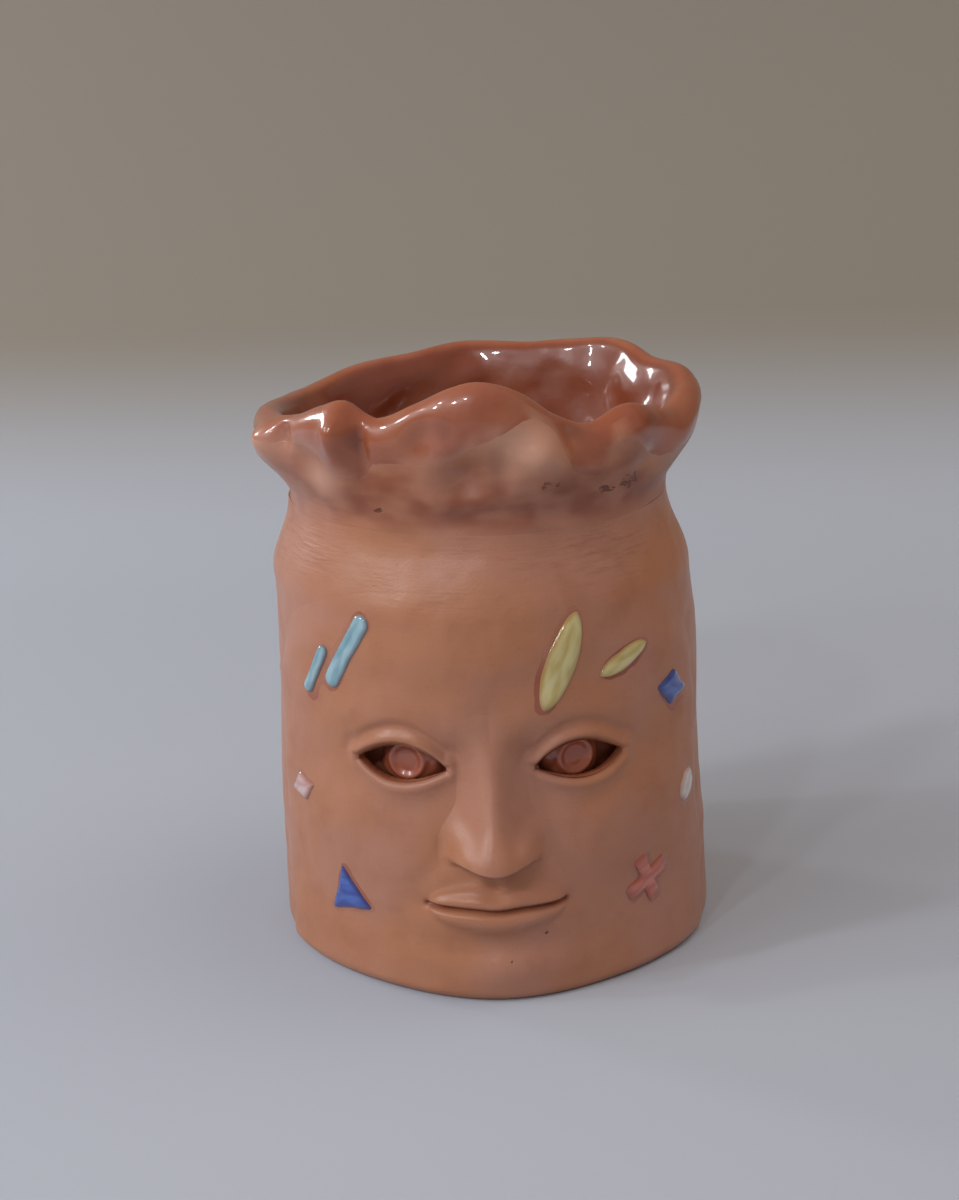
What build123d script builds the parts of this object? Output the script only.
from build123d import *
import os
from math import cos, degrees, exp, radians, sin

# Face vase, hand-built from clay. Millimetres, Z up.
# The origin is at the middle of the foot, on the surface the vase stands on.
# The face looks along -Y. Angles, in degrees, run round the pot from the face towards +X.

# Rolled wall and floor
neck_height = 98.0          # top of the wall, where the rim strip is joined on
neck_draw = 17.0            # height over which the wall draws in to the neck
shoulder_height = neck_height - neck_draw
base_radius = 48.3
wall_taper = 2.0            # how much less the radius is at the shoulder than at the foot
neck_pinch = 4.9            # how much less it is at the neck than at the shoulder
shoulder_radius = base_radius - wall_taper
neck_radius = shoulder_radius - neck_pinch
wall_thickness = 6.0
floor_thickness = 6.5
foot_round = 2.6            # height of the softened bottom edge
foot_share = 0.75           # how far in it goes, as a share of that
lean = 2.0                  # how far the neck's middle stands to the left of the foot's
back_flat = 1.0             # the back is patted a little flatter than the sides
face_dent = 7.4             # how far the wall is pushed in behind the face
dent_angle = 46
dent_share = 0.36           # its half height, as a share of the neck's height

# Ruffled rim strip
rim_height = 31.6           # from the neck to the highest lobe
rim_flare = 6.7             # how far the widest lobe's ridge stands out past the neck
lip_thickness = 5.4
rim_shift = 0.4             # the ruffle's middle, to the right of the neck's

# Face slab
slab_lift = 0.9             # how far the slab stands proud of the wall at its edge
slab_tuck = 2.2             # how far its form runs under the wall's past that edge
slab_clear = 8.0            # from its smoothed-out top up to the rim strip
slab_top = neck_height - slab_clear
slab_middle = slab_top * 0.49   # above this its edge turns in towards the top
slab_half_angle = 78        # how far round the pot it reaches each way
slab_edge_shares = (0.80, 1.00)

# Places on the face: eyes half way up the head, brow, nose and chin in thirds
chin_height = 2.0
eye_width = 19.0            # five of them make the head's width
head_height = neck_height - chin_height
face_height = head_height * 7 / 8
eye_height = chin_height + head_height / 2
nose_base = chin_height + face_height / 3
brow_height = chin_height + face_height * 2 / 3
mouth_height = chin_height + face_height * 2 / 9
mouth_width = eye_width * 1.45

# Relief of the face slab
chin_reach = 3.6
cheek_swell = 1.6
brow_swell = 1.5
muzzle_swell = 2.4
lip_swell = 0.9
lip_height = 5.4            # of each lip
socket_depth = 2.6
lid_swell = 2.6

# Eyes
slit_height = 8.4
slit_lower_share = 0.42     # the part of that below the line through the corners
pocket_width = 25.0
pocket_height = 15.0
lid_thickness = 3.0
ball_radius = 8.5
ball_gap = 0.6              # between the eyeball and the back of the lid
iris_radius = 3.5
iris_depth = 0.8

# Nose and mouth
nose_width = eye_width * 0.95
nose_reach = 9.0            # from the face slab to the tip
nose_root = 3.4             # how deep its foot sits into the slab
mouth_groove = 0.85         # radius of the incised line

# Raised glaze
glaze_thickness = 0.55
leaf_length = 22.0
leaf_width = 7.0
bar_length = 19.0
bar_width = 4.2
diamond_length = 13.0
diamond_width = 8.5
triangle_side = 12.0
cross_span = 12.5
cross_arm = 3.6
dab_length = 8.0
dab_width = 5.6
corner_round = 1.0

# Fineness of the forms, and how far cutters run past what they cut
steps_around = 48
overrun = 1.0

# The ruffle's ridge at angles round the mouth: its rise, as a share of the rim's
# height, and its lean outwards, as a share of the rim's flare.
ridge_shares = [
    (-175, 0.755, 0.62), (-158, 0.705, 0.40), (-140, 0.670, 0.55), (-121, 0.600, 0.62),
    (-104, 0.600, 0.80), (-88, 0.625, 0.98), (-72, 0.640, 0.90), (-58, 0.705, 0.72),
    (-41, 0.832, 0.52), (-29, 0.745, 0.14), (-17, 0.860, 0.24), (-6, 0.972, 0.44),
    (2, 1.000, 0.50), (12, 0.925, 0.40), (24, 0.745, 0.16), (36, 0.655, 0.10),
    (48, 0.745, 0.50), (61, 0.675, 0.52), (71, 0.620, 0.62), (84, 0.690, 0.96),
    (98, 0.768, 1.00), (113, 0.765, 0.70), (131, 0.829, 0.80), (147, 0.800, 0.55),
    (163, 0.760, 0.42),
]

# Rings of the rim from the neck up the outside, over the lip and down the inside: the
# share of the ridge's rise, of its lean, and the shift outwards as a share of the lip.
rim_profile_shares = [
    (0.00, 0.00, 0.00), (0.13, 0.05, 0.00), (0.26, 0.24, 0.04), (0.40, 0.52, 0.10),
    (0.54, 0.78, 0.14), (0.68, 0.95, 0.14), (0.82, 1.03, 0.10), (0.94, 1.02, -0.10),
    (1.00, 0.97, -0.48), (0.96, 0.92, -0.86), (0.85, 0.85, -1.04), (0.71, 0.73, -1.10),
    (0.57, 0.57, -1.12), (0.43, 0.40, -1.12), (0.29, 0.23, -1.12), (0.14, 0.08, -1.12),
]

# Level sections of the nose, from the wings up to the brow: shares of the way up to
# the brow, of the nose's width and of its reach.
nose_shares = [
    (0.00, 0.90, 0.55), (0.06, 0.98, 0.92), (0.17, 0.78, 1.00), (0.34, 0.52, 0.82),
    (0.60, 0.36, 0.52), (0.86, 0.30, 0.30), (1.00, 0.16, 0.10),
]

# Outline of one such section: shares of its half width and of its reach.
nose_section_shares = [
    (0, 0), (-1, 0), (-0.93, 0.34), (-0.62, 0.62), (-0.28, 0.92), (0, 1),
    (0.28, 0.92), (0.62, 0.62), (0.93, 0.34), (1, 0),
]

# Raised glaze marks: name, outline, angle, height as a share of the neck's, tilt and
# size. Those within the face slab's edge lie on the slab, the others on the wall.
mark_shares = [
    ("yellow_leaf", "leaf", 19, 0.735, 66, 1.0),
    ("yellow_leaf_small", "leaf", 37, 0.715, 22, 0.62),
    ("turquoise_bar", "bar", -38, 0.745, 60, 1.0),
    ("turquoise_bar_short", "bar", -49, 0.690, 60, 0.68),
    ("cobalt_diamond", "diamond", 56, 0.610, -14, 1.0),
    ("cobalt_triangle", "triangle", -41, 0.190, 12, 1.0),
    ("coral_cross", "cross", 42, 0.205, 24, 1.0),
    ("pink_diamond", "diamond", -58, 0.400, 20, 0.80),
    ("white_dab", "dab", 60, 0.375, 40, 1.0),
    ("coral_leaf", "leaf", 106, 0.560, 70, 1.0),
    ("turquoise_triangle", "triangle", 128, 0.230, -20, 1.0),
    ("yellow_bar", "bar", 150, 0.700, 35, 1.0),
    ("cobalt_leaf", "leaf", 179, 0.430, -62, 1.0),
    ("pink_cross", "cross", -148, 0.740, 30, 0.9),
    ("turquoise_leaf", "leaf", -160, 0.150, 12, 0.9),
    ("white_diamond", "diamond", -126, 0.360, 35, 0.9),
    ("coral_bar", "bar", -101, 0.640, -55, 1.0),
    ("yellow_triangle", "triangle", -96, 0.200, 30, 0.85),
]

# Swellings and hollows of the face slab: amount, middle aside and up, half width and height
relief_rows = [
    (brow_swell, eye_width * 0.80, brow_height + eye_width * 0.10, eye_width * 0.68, eye_width * 0.29),
    (-socket_depth, eye_width, eye_height, eye_width * 0.62, slit_height * 1.05),
    (lid_swell, eye_width, eye_height, eye_width * 0.50, slit_height * 0.66),
    (cheek_swell, eye_width * 1.35, nose_base + eye_width * 0.16, eye_width * 0.53, eye_width * 0.47),
    (muzzle_swell, 0, mouth_height, mouth_width * 0.52, eye_width * 0.47),
    (chin_reach, 0, chin_height, eye_width * 0.75, eye_width * 0.50),
    (lip_swell, 0, mouth_height + lip_height * 0.56, mouth_width * 0.34, lip_height * 0.41),
    (lip_swell, 0, mouth_height - lip_height * 0.62, mouth_width * 0.34, lip_height * 0.44),
]


def smooth(share):
    """Ease from 0 to 1."""
    share = min(max(share, 0), 1)
    return share * share * (3 - 2 * share)


def swell(across, up=0.0):
    """A rounded swelling, 1 at its middle, from distances in units of its size."""
    return exp(-(across * across + up * up) / 2)


def around(rows, angle, column):
    """Smooth value of one column of a table of angles that closes on itself."""
    count = len(rows)
    before = max((i for i in range(count) if rows[i][0] <= angle), default=count - 1)
    start = rows[before][0] - (360 if rows[before][0] > angle else 0)
    span = (rows[(before + 1) % count][0] - start) % 360
    t = (angle - start) / span
    a, b, c, d = (rows[(before + k) % count][column] for k in (-1, 0, 1, 2))
    return b + 0.5 * t * (c - a + t * (2 * a - 5 * b + 4 * c - d + t * (3 * (b - c) + d - a)))


def heights_between(low, high, count):
    """Evenly spaced heights, both ends included."""
    return [low + (high - low) * i / count for i in range(count + 1)]


def foot_curve(height):
    """How far the bottom edge is rounded in at a height."""
    low = max(foot_round - height, 0) / foot_round
    return foot_round * foot_share * low * low


def drawn_in(height):
    """How much of the way from shoulder to neck the wall has drawn in at a height."""
    return smooth((height - shoulder_height) / (neck_height - shoulder_height))


def side_radius(height):
    """Radius of the pot at its sides."""
    risen = min(max(height, 0) / shoulder_height, 1)
    side = base_radius + (shoulder_radius - base_radius) * risen
    return side - (shoulder_radius - neck_radius) * drawn_in(height) - foot_curve(height)


def wall_radius(angle, height):
    """Outer radius of the rolled wall."""
    away = (height - eye_height) / (neck_height * dent_share)
    dent = face_dent * exp(-(angle / dent_angle) ** 4 - away ** 4)
    risen = min(max(height, 0) / shoulder_height, 1)
    flat = back_flat * swell((180 - abs(angle)) / 50) * risen * (1 - drawn_in(height))
    return side_radius(height) - dent - flat


def bore_radius(angle, height):
    """Inner radius of the rolled wall."""
    return wall_radius(angle, max(height, foot_round)) - wall_thickness


def relief(angle, height):
    """Brow, sockets, lids, cheeks, muzzle, chin and lips, over the slab's plain form."""
    across = radians(angle) * shoulder_radius
    form = 0
    for amount, aside, up, half_width, half_height in relief_rows:
        for middle in {aside, -aside}:
            form += amount * swell((across - middle) / half_width, (height - up) / half_height)
    return form


def face_radius(angle, height):
    """Outer radius of the face slab, which dips under the wall past the slab's edge."""
    aside = abs(angle) / slab_half_angle
    above = max(height - slab_middle, 0) / (slab_top - slab_middle)
    edge = (aside ** 4 + above ** 4) ** 0.25
    start, end = slab_edge_shares
    inside = 1 - smooth((edge - start) / (end - start))
    face = slab_lift + relief(angle, height)
    return side_radius(height) - slab_tuck + (slab_tuck + face) * inside


def place(angle, radius, height):
    """Point of the pot, whose middle leans to the left as it rises."""
    turn = radians(angle)
    return (radius * sin(turn) - lean * height / neck_height, -radius * cos(turn), height)


def facing(angle, height, radius):
    """Plane square to the wall at a place, with its Y pointing up the pot."""
    turn = radians(angle)
    outward = (sin(turn), -cos(turn), 0)
    return Plane(origin=place(angle, radius, height), x_dir=(cos(turn), sin(turn), 0), z_dir=outward)


def ring(points):
    """Closed smooth wire, evenly timed, so that rings line up with each other."""
    times = [i / len(points) for i in range(len(points) + 1)]
    return Wire([Edge.make_spline(points, periodic=True, parameters=times)])


def ring_angles():
    """Angles round the pot, from the back."""
    return [360 * i / steps_around - 180 for i in range(steps_around)]


def form_of(radius_at, heights, grow=0.0):
    """Solid of one form between the first and last of some heights, grown outwards."""
    rings = []
    for height in heights:
        rings.append(ring([place(a, radius_at(a, height) + grow, height) for a in ring_angles()]))
    return Part() + Solid.make_loft(rings)


def ridge_ring(rise, lean_share, shift):
    """Ring of the ruffle, at shares of the ridge's rise and lean, moved in or out."""
    points = []
    for angle in ring_angles():
        height = neck_height + rim_height * around(ridge_shares, angle, 1) * rise
        out = rim_flare * around(ridge_shares, angle, 2) * lean_share
        x, y, z = place(angle, wall_radius(angle, neck_height) + out + shift, height)
        points.append((x + rim_shift * rise, y, z))
    return ring(points)


def leaf(length, width):
    """Outline with two curved sides and pointed ends."""
    ends = [(-length / 2, 0), (length / 2, 0)]
    upper = ThreePointArc(ends[0], (0, width / 2), ends[1])
    return make_face(Curve() + [upper, ThreePointArc(ends[1], (0, -width / 2), ends[0])])


def rounded(outline):
    """Outline with softened corners."""
    return fillet(outline.vertices(), corner_round)


# Forms
foot_heights = heights_between(-foot_round, foot_round, 6)
body_heights = heights_between(foot_round * 2.6, shoulder_height, 13)
neck_heights = heights_between(shoulder_height, neck_height, 5)[1:]
wall_heights = foot_heights + body_heights + neck_heights
face_heights = foot_heights + heights_between(foot_round * 2.2, slab_top, 22)
bore_heights = heights_between(0, neck_height, 14) + [neck_height + overrun]
clear_width = base_radius * 3
upright = (Align.CENTER, Align.CENTER, Align.MIN)
above_ground = Box(clear_width, clear_width, neck_height + rim_height, align=upright)
wall_form = form_of(wall_radius, wall_heights)
face_form = form_of(face_radius, face_heights) & above_ground

# Floor and wall
floor_room = Box(clear_width, clear_width, floor_thickness, align=upright)
wall_room = Pos(0, 0, floor_thickness) * Box(clear_width, clear_width, neck_height, align=upright)
floor_slab = wall_form & floor_room
vessel_wall = (wall_form & wall_room) - form_of(bore_radius, bore_heights)

# Rim: up the outside, over the lip and down the inside
rim_rings = [ridge_ring(rise, out, lip_thickness * shift) for rise, out, shift in rim_profile_shares]
inner_foot = ridge_ring(0, 0, -wall_thickness)
rim_skin = Shell.make_loft(rim_rings + [inner_foot])
ruffled_rim = Solid(Shell(rim_skin.faces() + [Face(rim_rings[0], [inner_foot])]))

# Eyes: a domed button on the wall, in a pocket of the slab, behind a cut slit
eye_angle = degrees(eye_width / shoulder_radius)
pocket_reach = ball_radius + ball_gap
ball_middle = side_radius(eye_height) + slab_lift - lid_thickness - pocket_reach
dish_radius = (iris_radius ** 2 + iris_depth ** 2) / (2 * iris_depth)
dish_out = (ball_radius ** 2 - iris_radius ** 2) ** 0.5 - iris_depth + dish_radius
corners = [(-eye_width / 2, 0), (eye_width / 2, 0)]
upper_lid = ThreePointArc(corners[0], (0, slit_height * (1 - slit_lower_share)), corners[1])
lower_lid = ThreePointArc(corners[1], (0, -slit_height * slit_lower_share), corners[0])
slit_outline = make_face(Curve() + [upper_lid, lower_lid])
eyeballs, eye_cutters = {}, []
for side, way in {"left": -1, "right": 1}.items():
    plane = facing(way * eye_angle, eye_height, ball_middle)
    eye_cutters.append(extrude(plane * slit_outline, base_radius))
    eye_cutters.append(extrude(plane * Ellipse(pocket_width / 2, pocket_height / 2), pocket_reach))
    dish = plane * Pos(0, 0, dish_out) * Rot(90, 0, 0) * Sphere(dish_radius)
    eyeballs[f"{side}_eyeball"] = plane * Rot(90, 0, 0) * Sphere(ball_radius) - dish - wall_form

# Face slab, with the mouth line incised along its own surface
mouth_angle = degrees(mouth_width / 2 / shoulder_radius)
mouth_angles = heights_between(-mouth_angle, mouth_angle, 6)
mouth_path = Spline(*[place(a, face_radius(a, mouth_height), mouth_height) for a in mouth_angles])
mouth_end = Plane(origin=mouth_path @ 0, z_dir=mouth_path % 0)
mouth_cut = sweep(mouth_end * Circle(mouth_groove), path=mouth_path)
face_slab = face_form - wall_form - mouth_cut
for cutter in eye_cutters:
    face_slab -= cutter

# Nose
nose_rings = []
for up, wide, out in nose_shares:
    height = nose_base + (brow_height - nose_base) * up
    x, y, z = place(0, face_radius(0, height), height)
    points = []
    for across, reach in nose_section_shares:
        sink = nose_root * (1 if reach == 0 else 0.35)
        points.append((x + nose_width / 2 * wide * across, y + sink - (nose_reach * out + sink) * reach, z))
    nose_rings.append(ring(points))
nose = (Part() + Solid.make_loft(nose_rings)) - face_form

# Raised glaze: the prism of each outline, kept to a thin layer over the clay
half_length, half_width = diamond_length / 2, diamond_width / 2
diamond_corners = [(half_length, 0), (0, half_width), (-half_length, 0), (0, -half_width)]
outlines = {
    "leaf": leaf(leaf_length, leaf_width),
    "bar": SlotOverall(bar_length, bar_width),
    "diamond": rounded(Polygon(*diamond_corners)),
    "triangle": rounded(Triangle(a=triangle_side, b=triangle_side, c=triangle_side)),
    "cross": rounded(Rectangle(cross_span, cross_arm) + Rectangle(cross_arm, cross_span)),
    "dab": Ellipse(dab_length / 2, dab_width / 2),
}
wall_glaze = form_of(wall_radius, wall_heights, glaze_thickness)
face_glaze = form_of(face_radius, face_heights, glaze_thickness)
marks = {}
for name, outline, angle, height_share, tilt, size in mark_shares:
    clay, layer = (face_form, face_glaze) if abs(angle) < slab_half_angle else (wall_form, wall_glaze)
    plane = facing(angle, neck_height * height_share, neck_radius / 2) * Rot(0, 0, tilt)
    prism = extrude(plane * scale(outlines[outline], size), neck_radius)
    marks[name] = (prism & layer) - clay

nodes = {
    "floor_slab": floor_slab,
    "vessel_wall": vessel_wall,
    "ruffled_rim": ruffled_rim,
    "face_slab": face_slab,
    "nose": nose,
    **eyeballs,
    **marks,
}
os.makedirs("parts", exist_ok=True)
for name, solid in nodes.items():
    export_step(solid, f"parts/{name}.step")
